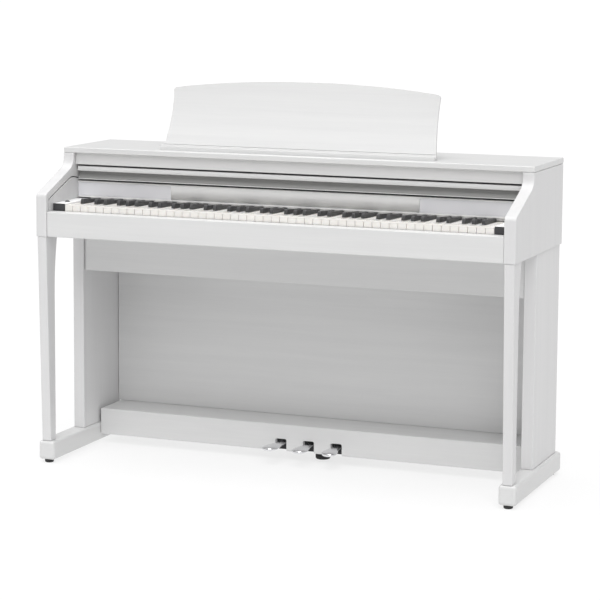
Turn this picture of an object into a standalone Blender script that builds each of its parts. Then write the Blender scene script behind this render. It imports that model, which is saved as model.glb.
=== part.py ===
"""Digital piano on a wooden stand: 88 hinged keys, sliding key cover, three pedals, folding music rest.

Metres, +Z up, +X to the player's right, -Y towards the player. Z = 0 is the floor.
Depths are measured backwards from the front face of the cheeks and turned into Y by at_depth.
"""
import bpy
import bmesh
import math
from mathutils import Matrix, Vector

# ---------------------------------------------------------------- driving dimensions
GAP = 0.0003            # clearance between pieces that touch
DEPTH_CENTRE = 0.23025  # depth of the object's middle behind the cheeks' front face

KEY_PITCH = 0.0235      # one white key and its gap: the standard full-size keyboard
WHITE_KEYS = 52
KEYBOARD = KEY_PITCH * WHITE_KEYS

PANEL_OUT = 0.6795      # half-width over the side panels
PANEL_THICK = 0.0313
PANEL_IN = PANEL_OUT - PANEL_THICK
PANEL_BOTTOM = 0.6356
PANEL_BACK = 0.4495
SLOPE_START = 0.7528    # height at which the cheek's front face turns back
SLOPE_RISE = 0.4080     # rise of the sloping edge for each metre of depth
TOP_FRONT = 0.1630      # depth of the top board's front edge
TOP_BACK = 0.4520
TOP_UNDER = 0.8533
TOP_HEIGHT = 0.8689
TOP_OUT = 0.6795

SLIP_TOP = 0.7047       # key slip: the front rail below the keys
SLIP_BACK = 0.036
BED_BOTTOM = 0.6495
BED_TOP = 0.6675

WHITE_TOP = 0.7169      # playing surface, before the keys are tipped up
BLACK_TOP = 0.7306
BLACK_REAR_TOP = 0.7242
KEY_TIP_UP = 1.4        # degrees by which a resting key's front stands up about its hinge line
KEY_FRONT = 0.0386
BLACK_FRONT = 0.0886
KEY_BOTTOM = 0.6992
KEY_PIVOT = 0.262       # depth of the keys' hinge line
KEY_REAR = 0.266
KEY_RAIL = 0.236        # front of the rail that joins a group of keys
KEY_GAP = 0.0010
BLACK_WIDTH = 0.0104
BLACK_SLOT = 0.0128

CONTROL_FACE = 0.188    # depth of the control panel's face
CONTROL_THICK = 0.018
CONTROL_BOTTOM = 0.7277
CONTROL_TOP = 0.7740
INLAY_BOTTOM = 0.7327
INLAY_TOP = 0.7697
INLAY_IN = 0.361
BLOCK_TOP = 0.7247      # end blocks beside the keys
FASCIA_FRONT = 0.1745
FASCIA_BOTTOM = 0.8209

COVER_OUT = 0.6425      # key cover half-width
COVER_TOP = 0.8150
COVER_THICK = 0.005
COVER_FRONT = 0.178
COVER_LEAF = 0.190      # front leaf, from its rail to its hinge
COVER_AXIS = 0.8125
RAIL_BOTTOM = 0.7795
BAR_TOP = 0.8160        # the bar that runs along the top of the cover's pull rail

BOARD_OUT = 0.6764      # rear stand boards
BOARD_IN = 0.6440
BOARD_FRONT = 0.2100
BOARD_BACK = 0.4403
LEG_OUT = 0.6767
LEG_IN = 0.6497
LEG_FRONT_TOP = 0.0005  # the leg's front face leans back towards the foot
LEG_FRONT_FOOT = 0.0194
FOOT_OUT = 0.6869
FOOT_IN = 0.6389
FOOT_FRONT = 0.0168
FOOT_BACK = 0.4605
FOOT_BOTTOM = 0.0091
FOOT_TOP = 0.0625
GLIDE_X = 0.6625
GLIDE_RADIUS = 0.0125

SPEAKER_FRONT = 0.217
SPEAKER_BACK = 0.410
SPEAKER_BOTTOM = 0.5168
SPEAKER_X = 0.430
CONE_RADIUS = 0.056
KNEE_FRONT = 0.428      # front face of the back board

PEDAL_FRONT = 0.300     # front face of the pedal box
PEDAL_BOX_TOP = 0.1036
PEDAL_BOX_BOTTOM = 0.0280
PEDAL_CENTRE = 0.007
PEDAL_PITCH = 0.0825
PEDAL_TIP = 0.214
PEDAL_PIVOT = 0.345
PEDAL_Z = (0.0440, 0.0555)
TOE_FAN = 0.0065        # how far the outer toes swing outwards
NOTCH_WIDTH = 0.0335
NOTCH_TOP = 0.0625

REST_HINGE_DEPTH = 0.217
REST_HINGE_HEIGHT = 0.8819
REST_LEAN = 19.0        # degrees from the vertical
REST_THICK = 0.007
REST_BOW = 0.005        # how far the middle of the rest's face is dished backwards
REST_SIDE = 0.1631      # height of the panel's side edges along its face
REST_CROWN = 0.0245     # how far the top edge rises at the middle
BRACE_ALONG = 0.080     # the stay's pivot, measured up the panel and out from its face
BRACE_OFFSET = 0.0155
BRACE_LENGTH = 0.105
BRACE_HALF = 0.095
BRACE_BAR = 0.0025      # half the thickness of the stay


def at_depth(depth):
    """Y of a plane that lies depth behind the cheeks' front face."""
    return depth - DEPTH_CENTRE


# ---------------------------------------------------------------- scene and materials
def clear_scene():
    for old in list(bpy.data.objects):
        bpy.data.objects.remove(old, do_unlink=True)


def material(name, colour, roughness, metallic=0.0):
    made = bpy.data.materials.get(name) or bpy.data.materials.new(name)
    made.use_nodes = True
    shader = made.node_tree.nodes["Principled BSDF"]
    shader.inputs["Base Color"].default_value = (*colour, 1.0)
    shader.inputs["Roughness"].default_value = roughness
    shader.inputs["Metallic"].default_value = metallic
    made.diffuse_color = (*colour, 1.0)
    return made


def satin_white(name):
    return material(name, (0.86, 0.86, 0.85), 0.42)


def ivory_white(name):
    return material(name, (0.90, 0.89, 0.86), 0.25)


def satin_black(name):
    return material(name, (0.035, 0.036, 0.035), 0.38)


def charcoal(name):
    return material(name, (0.04, 0.04, 0.043), 0.5)


def panel_grey(name):
    return material(name, (0.56, 0.56, 0.60), 0.45)


def steel(name):
    return material(name, (0.62, 0.62, 0.64), 0.22, 1.0)


def rubber(name):
    return material(name, (0.02, 0.02, 0.02), 0.7)


def circuit_green(name):
    return material(name, (0.03, 0.14, 0.07), 0.5)


# ---------------------------------------------------------------- shape helpers
def new_object(name, mesh, finish=None, origin=(0.0, 0.0, 0.0)):
    """An object whose mesh was made in world coordinates, with its origin moved to a chosen point."""
    mesh.transform(Matrix.Translation(-Vector(origin)))
    made = bpy.data.objects.new(name, mesh)
    made.location = origin
    bpy.context.scene.collection.objects.link(made)
    if finish:
        mesh.materials.append(finish(name + "_finish"))
    return made


def mesh_from(name, build):
    work = bmesh.new()
    build(work)
    bmesh.ops.recalc_face_normals(work, faces=work.faces[:])
    mesh = bpy.data.meshes.new(name)
    work.to_mesh(mesh)
    work.free()
    return mesh


def add_box(work, x, depth, z):
    """Adds a box that spans x, depth and z, each given as (low, high)."""
    size = Vector((x[1] - x[0], depth[1] - depth[0], z[1] - z[0]))
    centre = Vector((sum(x) / 2, at_depth(sum(depth) / 2), sum(z) / 2))
    corners = bmesh.ops.create_cube(work, size=1.0)["verts"]
    shape = Matrix.Translation(centre) @ Matrix.Diagonal((*size, 1.0))
    bmesh.ops.transform(work, verts=corners, matrix=shape)


def centre_of(x, depth, z):
    return (sum(x) / 2, at_depth(sum(depth) / 2), sum(z) / 2)


def box(name, x, depth, z, finish=None, origin=None):
    mesh = mesh_from(name, lambda work: add_box(work, x, depth, z))
    return new_object(name, mesh, finish, origin or centre_of(x, depth, z))


def add_prism(work, points, lift):
    """Adds a closed outline as a face and extrudes it by the vector lift."""
    face = work.faces.new([work.verts.new(point) for point in points])
    swept = bmesh.ops.extrude_face_region(work, geom=[face])["geom"]
    moved = [item for item in swept if isinstance(item, bmesh.types.BMVert)]
    bmesh.ops.translate(work, verts=moved, vec=lift)


def side_profile(name, outline, x, finish=None, origin=(0.0, 0.0, 0.0)):
    """Extrudes an outline of (depth, z) points from x[0] to x[1]."""
    points = [Vector((x[0], at_depth(depth), z)) for depth, z in outline]
    mesh = mesh_from(name, lambda work: add_prism(work, points, Vector((x[1] - x[0], 0, 0))))
    return new_object(name, mesh, finish, origin)


def plan_profile(name, outline, z, finish=None, origin=(0.0, 0.0, 0.0)):
    """Extrudes an outline of (x, depth) points from z[0] up to z[1]."""
    points = [Vector((x, at_depth(depth), z[0])) for x, depth in outline]
    mesh = mesh_from(name, lambda work: add_prism(work, points, Vector((0, 0, z[1] - z[0]))))
    return new_object(name, mesh, finish, origin)


def turned(name, profile, centre, finish=None, steps=24):
    """Spins a profile of (radius, height) points, from axis to axis, about a vertical line."""
    def build(work):
        start = [work.verts.new((radius, 0.0, height)) for radius, height in profile]
        edges = [work.edges.new(pair) for pair in zip(start, start[1:])]
        bmesh.ops.spin(work, geom=start + edges, cent=(0, 0, 0), axis=(0, 0, 1), angle=math.tau,
                       steps=steps, use_merge=True, use_duplicate=False)
        bmesh.ops.remove_doubles(work, verts=work.verts[:], dist=1e-6)
    mesh = mesh_from(name, build)
    made = bpy.data.objects.new(name, mesh)
    made.location = centre
    bpy.context.scene.collection.objects.link(made)
    if finish:
        mesh.materials.append(finish(name + "_finish"))
    return made


def soften(target, width, segments=1):
    """Rounds every sharp edge of a piece."""
    bevel = target.modifiers.new("soft_edges", "BEVEL")
    bevel.width = width
    bevel.segments = segments
    bevel.limit_method = "ANGLE"
    bevel.angle_limit = math.radians(40)
    return target


def combine(target, other, operation):
    """Cuts or joins another object into the target and hides the helper."""
    change = target.modifiers.new(operation.lower(), "BOOLEAN")
    change.operation = operation
    change.solver = "EXACT"
    change.object = other
    other.hide_render = True
    other.display_type = "WIRE"
    return target


def corner_arc(before, corner, after, reach, steps=6):
    """Points of a smooth bend that replaces a corner, starting and ending reach away from it."""
    corner = Vector(corner)
    start = corner + (Vector(before) - corner).normalized() * reach
    end = corner + (Vector(after) - corner).normalized() * reach
    bend = []
    for step in range(steps + 1):
        t = step / steps
        point = start * (1 - t) ** 2 + corner * 2 * t * (1 - t) + end * t ** 2
        bend.append(tuple(point))
    return bend


def band(path, width):
    """Outline of a strip of even width that follows a path of (depth, z) points."""
    left, right = [], []
    for index, point in enumerate(path):
        ahead = Vector(path[min(index + 1, len(path) - 1)])
        behind = Vector(path[max(index - 1, 0)])
        along = (ahead - behind).normalized()
        across = Vector((-along.y, along.x)) * width / 2
        left.append(tuple(Vector(point) + across))
        right.append(tuple(Vector(point) - across))
    return left + right[::-1]


SIDES = (("left", -1), ("right", 1))


def span(side, inner, outer):
    """X range of a piece on one side, given its inner and outer distance from the middle."""
    return tuple(sorted((side * inner, side * outer)))


# ---------------------------------------------------------------- cabinet
def slope_height(depth):
    return SLOPE_START + SLOPE_RISE * depth


def cheek_outline():
    """Side panel outline: upright front, sloping edge, then a bend up to the top board."""
    foot, knee = (0.0, PANEL_BOTTOM), (0.0, SLOPE_START)
    elbow, head = (TOP_FRONT, slope_height(TOP_FRONT)), (TOP_FRONT, TOP_UNDER - GAP)
    back_top, back_foot = (PANEL_BACK, TOP_UNDER - GAP), (PANEL_BACK, PANEL_BOTTOM)
    outline = [foot]
    outline += corner_arc(foot, knee, elbow, 0.010, 4)
    outline += corner_arc(knee, elbow, head, 0.028, 7)
    return outline + [head, back_top, back_foot]


def guide_path():
    """Centre line of the groove that steers the key cover's front rail."""
    start, crest, toe, end = (0.214, 0.7775), (0.150, 0.7895), (0.0165, 0.7385), (0.0118, SLIP_TOP + 0.003)
    return [start, *corner_arc(start, crest, toe, 0.016, 3), *corner_arc(crest, toe, end, 0.008, 2), end]


def build_side_panels():
    for label, side in SIDES:
        across = span(side, PANEL_IN, PANEL_OUT)
        panel = side_profile(label + "_side_panel", cheek_outline(), across, satin_white)
        soften(panel, 0.0015, 2)
        groove = side_profile(label + "_groove_cutter", band(guide_path(), 0.0034),
                              span(side, PANEL_IN - 0.002, PANEL_IN + 0.006))
        combine(panel, groove, "DIFFERENCE")


def build_top_board():
    board = box("top_board", (-TOP_OUT, TOP_OUT), (TOP_FRONT, TOP_BACK), (TOP_UNDER, TOP_HEIGHT),
                satin_white)
    soften(board, 0.0020, 2)


def build_front():
    inside = PANEL_IN - 0.0006
    slip = [(0.0010, 0.6362), (0.0010, SLIP_TOP), (SLIP_BACK, SLIP_TOP), (SLIP_BACK, SLIP_TOP - 0.012),
            (0.0200, SLIP_TOP - 0.012), (0.0200, 0.6362)]
    soften(side_profile("key_slip", slip, (-inside, inside), satin_white), 0.0015, 2)
    box("key_bed", (-inside, inside), (0.0205, 0.4340), (BED_BOTTOM, BED_TOP), satin_white)
    fascia = box("upper_fascia", (-inside, inside), (FASCIA_FRONT, FASCIA_FRONT + 0.015),
                 (FASCIA_BOTTOM, TOP_UNDER - GAP), satin_white)
    soften(fascia, 0.0010, 2)
    box("rear_cover", (-inside, inside), (0.4385, 0.4445), (BED_BOTTOM, TOP_UNDER - GAP), charcoal)


def build_control_panel():
    """The strip behind the keys, with a shallow recess for a grey inlay at each end."""
    inside = PANEL_IN - 0.0006
    panel = box("control_panel", (-inside, inside), (CONTROL_FACE, CONTROL_FACE + CONTROL_THICK),
                (CONTROL_BOTTOM, CONTROL_TOP), satin_white)
    floor = CONTROL_FACE + 0.003
    for label, side in SIDES:
        recess = box(label + "_recess_cutter", span(side, INLAY_IN, PANEL_OUT), (CONTROL_FACE - 0.01, floor),
                     (INLAY_BOTTOM - GAP, INLAY_TOP + GAP))
        combine(panel, recess, "DIFFERENCE")
        inlay = box(label + "_control_inlay", span(side, INLAY_IN + GAP, inside - GAP),
                    (CONTROL_FACE + 0.0004, floor - GAP), (INLAY_BOTTOM, INLAY_TOP), panel_grey)
        soften(inlay, 0.0004)


def build_cheek_blocks():
    """End blocks beside the lowest and highest key; one carries the volume slider, one the power button."""
    for label, side in SIDES:
        block = box(label + "_cheek_block", span(side, KEYBOARD / 2 + 0.0010, PANEL_IN - 0.0006),
                    (KEY_FRONT, CONTROL_FACE - 0.0015), (BED_TOP + 0.008, BLOCK_TOP), satin_white)
        soften(block, 0.0012, 2)
        middle = side * 0.631
        cutter = box(label + "_block_cutter", (middle - 0.0065, middle + 0.0065),
                     (0.085, 0.115) if side < 0 else (0.0935, 0.1065), (BLOCK_TOP - 0.006, BLOCK_TOP + 0.006))
        combine(block, cutter, "DIFFERENCE")
    slider = box("volume_slider", (-0.6355, -0.6265), (0.086, 0.096),
                 (BLOCK_TOP - 0.0057, BLOCK_TOP + 0.003), charcoal)
    soften(slider, 0.0010)
    button = box("power_button", (0.6255, 0.6365), (0.0945, 0.1055),
                 (BLOCK_TOP - 0.0035, BLOCK_TOP + 0.002), charcoal)
    soften(button, 0.0010)


# ---------------------------------------------------------------- key cover
def cove_path():
    """Finger pull in the rail's face: it draws back under the bar and comes forward again to a lip."""
    top, bottom, hollow = BAR_TOP - 0.0125, RAIL_BOTTOM + 0.0020, 0.0085
    path = []
    for step in range(9):
        t = step / 8
        path.append((COVER_FRONT + 0.0005 + hollow * math.sin(math.pi * t) ** 0.8, top + (bottom - top) * t))
    return path


def build_key_cover():
    """Two leaves: the front one ends in a cove-faced pull rail and is hinged to the sliding rear one."""
    hinge = COVER_FRONT + COVER_LEAF
    under = COVER_TOP - COVER_THICK
    outline = [(COVER_FRONT + 0.0020, BAR_TOP), (COVER_FRONT, BAR_TOP - 0.0015),
               (COVER_FRONT - 0.0015, BAR_TOP - 0.0050), (COVER_FRONT - 0.0010, BAR_TOP - 0.0095)]
    outline += cove_path()
    outline += [(COVER_FRONT + 0.0015, RAIL_BOTTOM), (COVER_FRONT + 0.0045, RAIL_BOTTOM),
                (COVER_FRONT + 0.0140, RAIL_BOTTOM + 0.0110), (COVER_FRONT + 0.0145, under), (hinge - 0.001, under),
                (hinge - 0.001, COVER_TOP), (COVER_FRONT + 0.018, COVER_TOP), (COVER_FRONT + 0.017, BAR_TOP)]
    origin = (0.0, at_depth(hinge), COVER_AXIS)
    side_profile("key_cover_front", outline, (-COVER_OUT, COVER_OUT), satin_white, origin)
    box("key_cover_rear", (-COVER_OUT, COVER_OUT), (hinge + 0.001, 0.4360), (under, COVER_TOP), satin_white)


# ---------------------------------------------------------------- keyboard
WHITE_STEPS = (0, 2, 4, 5, 7, 9, 11)
NOTE_NAMES = ("C", "Cs", "D", "Ds", "E", "F", "Fs", "G", "Gs", "A", "As", "B")


def octave_slots():
    """X ranges of the twelve key tails of one octave, from its left edge."""
    low_tail = (3 * KEY_PITCH - 2 * BLACK_SLOT) / 3
    high_tail = (4 * KEY_PITCH - 3 * BLACK_SLOT) / 4
    slots, x = [], 0.0
    for step in range(12):
        width = BLACK_SLOT if step not in WHITE_STEPS else low_tail if step < 5 else high_tail
        slots.append((x, x + width))
        x += width
    return slots


def key_shapes(first, last):
    """One (is_white, head range, tail range) for each note; note 9 is the lowest A and 96 the highest C."""
    shapes = []
    for note in range(first, last + 1):
        octave, step = divmod(note, 12)
        left = -KEYBOARD / 2 + (octave * 7 - 5) * KEY_PITCH
        low, high = (left + edge for edge in octave_slots()[step])
        if step not in WHITE_STEPS:
            middle = (low + high) / 2
            shapes.append((False, None, (middle - BLACK_WIDTH / 2, middle + BLACK_WIDTH / 2)))
            continue
        start = left + WHITE_STEPS.index(step) * KEY_PITCH
        head = (start + KEY_GAP / 2, start + KEY_PITCH - KEY_GAP / 2)
        low, high = max(low, head[0]), min(high, head[1])
        if note == 9:
            low = head[0]
        if note == 96:
            high = head[1]
        shapes.append((True, head, (low, high)))
    return shapes


def comb_outline(shapes):
    """Plan of one or more keys as a single outline; several keys share a rail behind their tails."""
    rail = KEY_RAIL if len(shapes) > 1 else KEY_REAR
    points = []
    for is_white, head, tail in shapes:
        points.append((tail[0], rail))
        if is_white:
            points += [(tail[0], BLACK_FRONT - 0.0008), (head[0], BLACK_FRONT - 0.0008), (head[0], KEY_FRONT)]
            points += [(head[1], KEY_FRONT), (head[1], BLACK_FRONT - 0.0008), (tail[1], BLACK_FRONT - 0.0008)]
        else:
            points += [(tail[0], BLACK_FRONT), (tail[1], BLACK_FRONT)]
        points.append((tail[1], rail))
    if len(shapes) > 1:
        points[0] = (points[0][0], KEY_REAR)
        points[-1] = (points[-1][0], KEY_REAR)
    clean = []
    for point in points:
        if not clean or (Vector(point) - Vector(clean[-1])).length > 1e-6:
            clean.append(point)
    return clean


def add_black_cap(work, tail):
    """Raised part of a black key: a sloping front, sides that draw in and a top that falls slightly backwards."""
    low, high = tail
    base, draw, rear = WHITE_TOP - 0.0010, 0.0006, CONTROL_FACE + 0.004
    sections = ((BLACK_FRONT, base + 0.0005), (BLACK_FRONT + 0.004, BLACK_TOP),
                (rear, BLACK_REAR_TOP))
    rings = []
    for depth, top in sections:
        y = at_depth(depth)
        rings.append([work.verts.new(point) for point in (
            (low, y, base), (high, y, base), (high - draw, y, top), (low + draw, y, top))])
    for near, far in zip(rings, rings[1:]):
        for corner in range(4):
            after = (corner + 1) % 4
            work.faces.new((near[corner], near[after], far[after], far[corner]))
    work.faces.new(rings[0][::-1])
    work.faces.new(rings[-1])


def build_keys(name, first, last):
    shapes = key_shapes(first, last)
    finish = satin_black if len(shapes) == 1 and not shapes[0][0] else ivory_white
    middle = (shapes[0][2][0] + shapes[-1][2][1]) / 2
    origin = (middle, at_depth(KEY_PIVOT), WHITE_TOP - 0.006)
    tip_up = Matrix.Rotation(-math.radians(KEY_TIP_UP), 4, "X")
    keys = plan_profile(name, comb_outline(shapes), (KEY_BOTTOM, WHITE_TOP), finish, origin)
    keys.data.transform(tip_up)
    blacks = [tail for is_white, head, tail in shapes if not is_white]
    if blacks:
        def build(work):
            for tail in blacks:
                add_black_cap(work, tail)
        caps = new_object(name + "_caps", mesh_from(name + "_caps", build), None, origin)
        caps.data.transform(tip_up)
        combine(keys, caps, "UNION")


def build_keyboard():
    build_keys("keys_A0_to_B1", 9, 23)
    build_keys("keys_C2_to_B2", 24, 35)
    build_keys("keys_C3_to_B3", 36, 47)
    for note in range(48, 60):
        build_keys("key_" + NOTE_NAMES[note % 12] + "4", note, note)
    build_keys("keys_C5_to_B5", 60, 71)
    build_keys("keys_C6_to_B6", 72, 83)
    build_keys("keys_C7_to_C8", 84, 96)
    floor, buffer, head = BED_TOP + 0.0075, BED_TOP + 0.0195, WHITE_TOP + 0.0120
    rail = [(0.0450, BED_TOP + GAP), (0.0450, floor), (0.0600, floor), (0.0600, buffer), (0.0750, buffer),
            (0.0750, floor), (0.2680, floor), (0.2680, head), (0.3000, head), (0.3000, BED_TOP + GAP)]
    side_profile("key_chassis", rail, (-KEYBOARD / 2, KEYBOARD / 2), charcoal)


# ---------------------------------------------------------------- electronics
def build_electronics():
    board = box("main_circuit_board", (-0.30, 0.10), (0.320, 0.430), (BED_TOP + 0.006, BED_TOP + 0.008),
                circuit_green)
    for x in (-0.28, 0.08):
        for depth in (0.330, 0.420):
            stud = box("board_stud", (x - 0.004, x + 0.004), (depth - 0.004, depth + 0.004),
                       (BED_TOP + GAP, BED_TOP + 0.007))
            combine(board, stud, "UNION")
    plate = box("rear_connector_plate", (-0.47, -0.33), (0.4448, 0.4480), (0.681, 0.726), charcoal)
    soften(plate, 0.0006)
    inlet = box("inlet_cutter", (-0.452, -0.432), (0.4460, 0.4600), (0.693, 0.714))
    combine(plate, inlet, "DIFFERENCE")


# ---------------------------------------------------------------- speakers
def build_speakers():
    wall, inside, ceiling = 0.012, BOARD_IN - 0.0015, BED_BOTTOM - GAP
    shell = box("speaker_box", (-inside, inside), (SPEAKER_FRONT, SPEAKER_BACK), (SPEAKER_BOTTOM, ceiling),
                satin_white)
    hollow = box("speaker_hollow_cutter", (-inside + wall, inside - wall),
                 (SPEAKER_FRONT + wall, SPEAKER_BACK - wall),
                 (SPEAKER_BOTTOM + wall, ceiling + 0.02))
    soften(shell, 0.0012, 2)
    combine(shell, hollow, "DIFFERENCE")
    middle = at_depth((SPEAKER_FRONT + SPEAKER_BACK) / 2)
    for label, side in SIDES:
        mouth = turned(label + "_mouth_cutter", [(0, -0.02), (CONE_RADIUS, -0.02), (CONE_RADIUS, 0.02), (0, 0.02)],
                       (side * SPEAKER_X, middle, SPEAKER_BOTTOM + wall / 2))
        combine(shell, mouth, "DIFFERENCE")
        driver = [(0, 0.012), (0.018, 0.008), (0.050, 0.001), (0.066, 0.0), (0.066, 0.004), (0.045, 0.030),
                  (0.038, 0.034), (0.038, 0.052), (0, 0.052)]
        turned(label + "_speaker", driver, (side * SPEAKER_X, middle, SPEAKER_BOTTOM + wall + GAP), charcoal)


# ---------------------------------------------------------------- stand
def leg_outline():
    """Front leg seen from the side: slim at the foot, flaring backwards under the cheek."""
    foot, head = FOOT_TOP + GAP, PANEL_BOTTOM - GAP
    height = head - foot
    back = []
    for step in range(11):
        t = step / 10
        depth = 0.0500 + 0.017 * max(0.0, (t - 0.72) / 0.28) ** 2
        back.append((depth, foot + height * t))
    return [(LEG_FRONT_FOOT, foot), (LEG_FRONT_TOP, head)] + back[::-1]


def build_stand():
    for label, side in SIDES:
        soften(box(label + "_stand_board", span(side, BOARD_IN, BOARD_OUT), (BOARD_FRONT, BOARD_BACK),
                   (FOOT_TOP + GAP, PANEL_BOTTOM - GAP), satin_white), 0.0015, 2)
        leg = side_profile(label + "_front_leg", leg_outline(), span(side, LEG_IN, LEG_OUT), satin_white)
        soften(leg, 0.0012)
        soften(box(label + "_foot_runner", span(side, FOOT_IN, FOOT_OUT), (FOOT_FRONT, FOOT_BACK),
                   (FOOT_BOTTOM, FOOT_TOP), satin_white), 0.0050, 3)
        for end, depth in (("front", 0.034), ("rear", 0.436)):
            disc = [(0, 0), (GLIDE_RADIUS - 0.0015, 0), (GLIDE_RADIUS, 0.0025), (GLIDE_RADIUS, FOOT_BOTTOM - GAP),
                    (0, FOOT_BOTTOM - GAP)]
            turned(label + "_" + end + "_glide", disc, (side * GLIDE_X, at_depth(depth), 0), rubber, 20)
    box("back_board", (-BOARD_IN + 0.0015, BOARD_IN - 0.0015), (KNEE_FRONT, KNEE_FRONT + 0.012),
        (PEDAL_BOX_TOP + GAP, BED_BOTTOM - GAP), satin_white)


# ---------------------------------------------------------------- pedals
def pedal_outline(fan):
    """Plan of a pedal: a straight shank that swells to a rounded toe, swung sideways by fan."""
    half_shank, half_toe = 0.0125, 0.0215
    side = [(half_shank, PEDAL_PIVOT + 0.010), (half_shank, PEDAL_FRONT - 0.005),
            (half_shank + 0.003, PEDAL_FRONT - 0.020), (half_toe - 0.002, PEDAL_FRONT - 0.040),
            (half_toe, PEDAL_TIP + 0.022)]
    toe = []
    for step in range(1, 8):
        angle = math.radians(90 * step / 8)
        toe.append((half_toe * math.cos(angle), PEDAL_TIP + 0.020 * (1 - math.sin(angle))))
    right = side + toe
    whole = right + [(0.0, PEDAL_TIP)] + [(-x, depth) for x, depth in reversed(right)]
    reach = PEDAL_FRONT - PEDAL_TIP
    return [(x + fan * max(0.0, (PEDAL_FRONT - depth) / reach), depth) for x, depth in whole]


def build_pedals():
    wall, inside = 0.015, FOOT_IN - 0.0006
    shell = box("pedal_box", (-inside, inside), (PEDAL_FRONT, BOARD_BACK), (PEDAL_BOX_BOTTOM, PEDAL_BOX_TOP),
                satin_white)
    soften(shell, 0.0040, 3)
    hollow = box("pedal_hollow_cutter", (-inside + wall, inside - wall), (PEDAL_FRONT + wall, BOARD_BACK - wall),
                 (PEDAL_BOX_BOTTOM - 0.01, PEDAL_BOX_TOP - wall))
    combine(shell, hollow, "DIFFERENCE")
    for place, label in ((-1, "left"), (0, "middle"), (1, "right")):
        x = PEDAL_CENTRE + place * PEDAL_PITCH
        notch = box(label + "_notch_cutter", (x - NOTCH_WIDTH / 2, x + NOTCH_WIDTH / 2),
                    (PEDAL_FRONT - 0.02, PEDAL_FRONT + wall + 0.01), (PEDAL_BOX_BOTTOM - 0.02, NOTCH_TOP))
        combine(shell, notch, "DIFFERENCE")
        outline = [(x + across, depth) for across, depth in pedal_outline(place * TOE_FAN - 0.001)]
        pedal = plan_profile(label + "_pedal", outline, PEDAL_Z, steel,
                             (x, at_depth(PEDAL_PIVOT), 0.050))
        soften(pedal, 0.0030, 2)
    pad = [(0, 0.0004), (0.0185, 0.0004), (0.0210, 0.0040), (0.0210, 0.0160), (0.0100, 0.0180), (0.0050, 0.0180),
           (0.0050, 0.0700), (0, 0.0700)]
    turned("pedal_adjuster", pad, (0.0235, at_depth(0.372), 0), rubber)


# ---------------------------------------------------------------- music rest
def rest_point(along, out=0.0):
    """Depth and height of a point on the music rest: along its face from the hinge, out towards the player."""
    lean = math.radians(REST_LEAN)
    depth = REST_HINGE_DEPTH + along * math.sin(lean) - out * math.cos(lean)
    return depth, REST_HINGE_HEIGHT + along * math.cos(lean) + out * math.sin(lean)


def rest_half_width(along):
    return 0.3950 - 0.0085 * math.sin(math.pi * min(1.0, along / REST_SIDE) * 0.75)


def build_music_rest():
    columns, rows = 24, 8

    def build(work):
        grid = []
        for out in (0.0, -REST_THICK):
            sheet = []
            for row in range(rows + 1):
                share = row / rows
                line = []
                for column in range(columns + 1):
                    across = 2 * column / columns - 1
                    crown = REST_CROWN * max(0.0, 1 - abs(across) ** 2.2)
                    along = 0.002 + share * (REST_SIDE + crown)
                    x = across * rest_half_width(along)
                    dish = REST_BOW * 4 * share * (1 - share)
                    depth, z = rest_point(along, out - dish)
                    line.append(work.verts.new((x, at_depth(depth), z)))
                sheet.append(line)
            grid.append(sheet)
        front, back = grid
        for row in range(rows):
            for column in range(columns):
                for sheet in (front, back):
                    work.faces.new((sheet[row][column], sheet[row][column + 1],
                                    sheet[row + 1][column + 1], sheet[row + 1][column]))
        rim = [front[0][c] for c in range(columns + 1)] + [front[r][columns] for r in range(1, rows + 1)]
        rim += [front[rows][c] for c in range(columns - 1, -1, -1)]
        rim += [front[r][0] for r in range(rows - 1, 0, -1)]
        far = [back[0][c] for c in range(columns + 1)] + [back[r][columns] for r in range(1, rows + 1)]
        far += [back[rows][c] for c in range(columns - 1, -1, -1)]
        far += [back[r][0] for r in range(rows - 1, 0, -1)]
        for index in range(len(rim)):
            after = (index + 1) % len(rim)
            work.faces.new((rim[index], rim[after], far[after], far[index]))

    origin = (0.0, at_depth(REST_HINGE_DEPTH), REST_HINGE_HEIGHT)
    new_object("music_rest_panel", mesh_from("music_rest_panel", build), satin_white, origin)
    foot, shelf, lip, ridge = (TOP_HEIGHT + up for up in (GAP, 0.0075, 0.0110, 0.0143))
    ledge = [(0.1930, foot), (0.1930, lip), (0.1975, lip), (0.1985, shelf), (0.2060, shelf), (0.2080, ridge),
             (0.2155, ridge), (0.2155, foot)]
    side_profile("music_rest_ledge", ledge, (-0.3990, 0.3990), satin_white)


def build_rest_brace():
    """A folding stay: a steel frame pivoted on the panel's back, with its foot on the top board."""
    pivot = rest_point(BRACE_ALONG, -BRACE_OFFSET)
    fall = pivot[1] - TOP_HEIGHT - GAP
    drop = math.asin(fall / math.hypot(BRACE_LENGTH, BRACE_BAR)) - math.atan2(BRACE_BAR, BRACE_LENGTH)
    centre = Vector((0.0, at_depth(pivot[0]), pivot[1]))
    brace = box("music_rest_brace", (-BRACE_HALF, BRACE_HALF), (pivot[0] - BRACE_BAR, pivot[0] + BRACE_LENGTH),
                (pivot[1] - BRACE_BAR, pivot[1] + BRACE_BAR), steel, centre)
    rail = 3 * BRACE_BAR
    window = box("brace_window_cutter", (-BRACE_HALF + rail, BRACE_HALF - rail),
                 (pivot[0] + rail, pivot[0] + BRACE_LENGTH - rail), (pivot[1] - 0.02, pivot[1] + 0.02), None, centre)
    for piece in (brace, window):
        piece.rotation_euler = (-drop, 0.0, 0.0)
    combine(brace, window, "DIFFERENCE")


# ---------------------------------------------------------------- the whole piano
clear_scene()
build_side_panels()
build_top_board()
build_front()
build_control_panel()
build_cheek_blocks()
build_key_cover()
build_keyboard()
build_electronics()
build_speakers()
build_stand()
build_pedals()
build_music_rest()
build_rest_brace()
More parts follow.
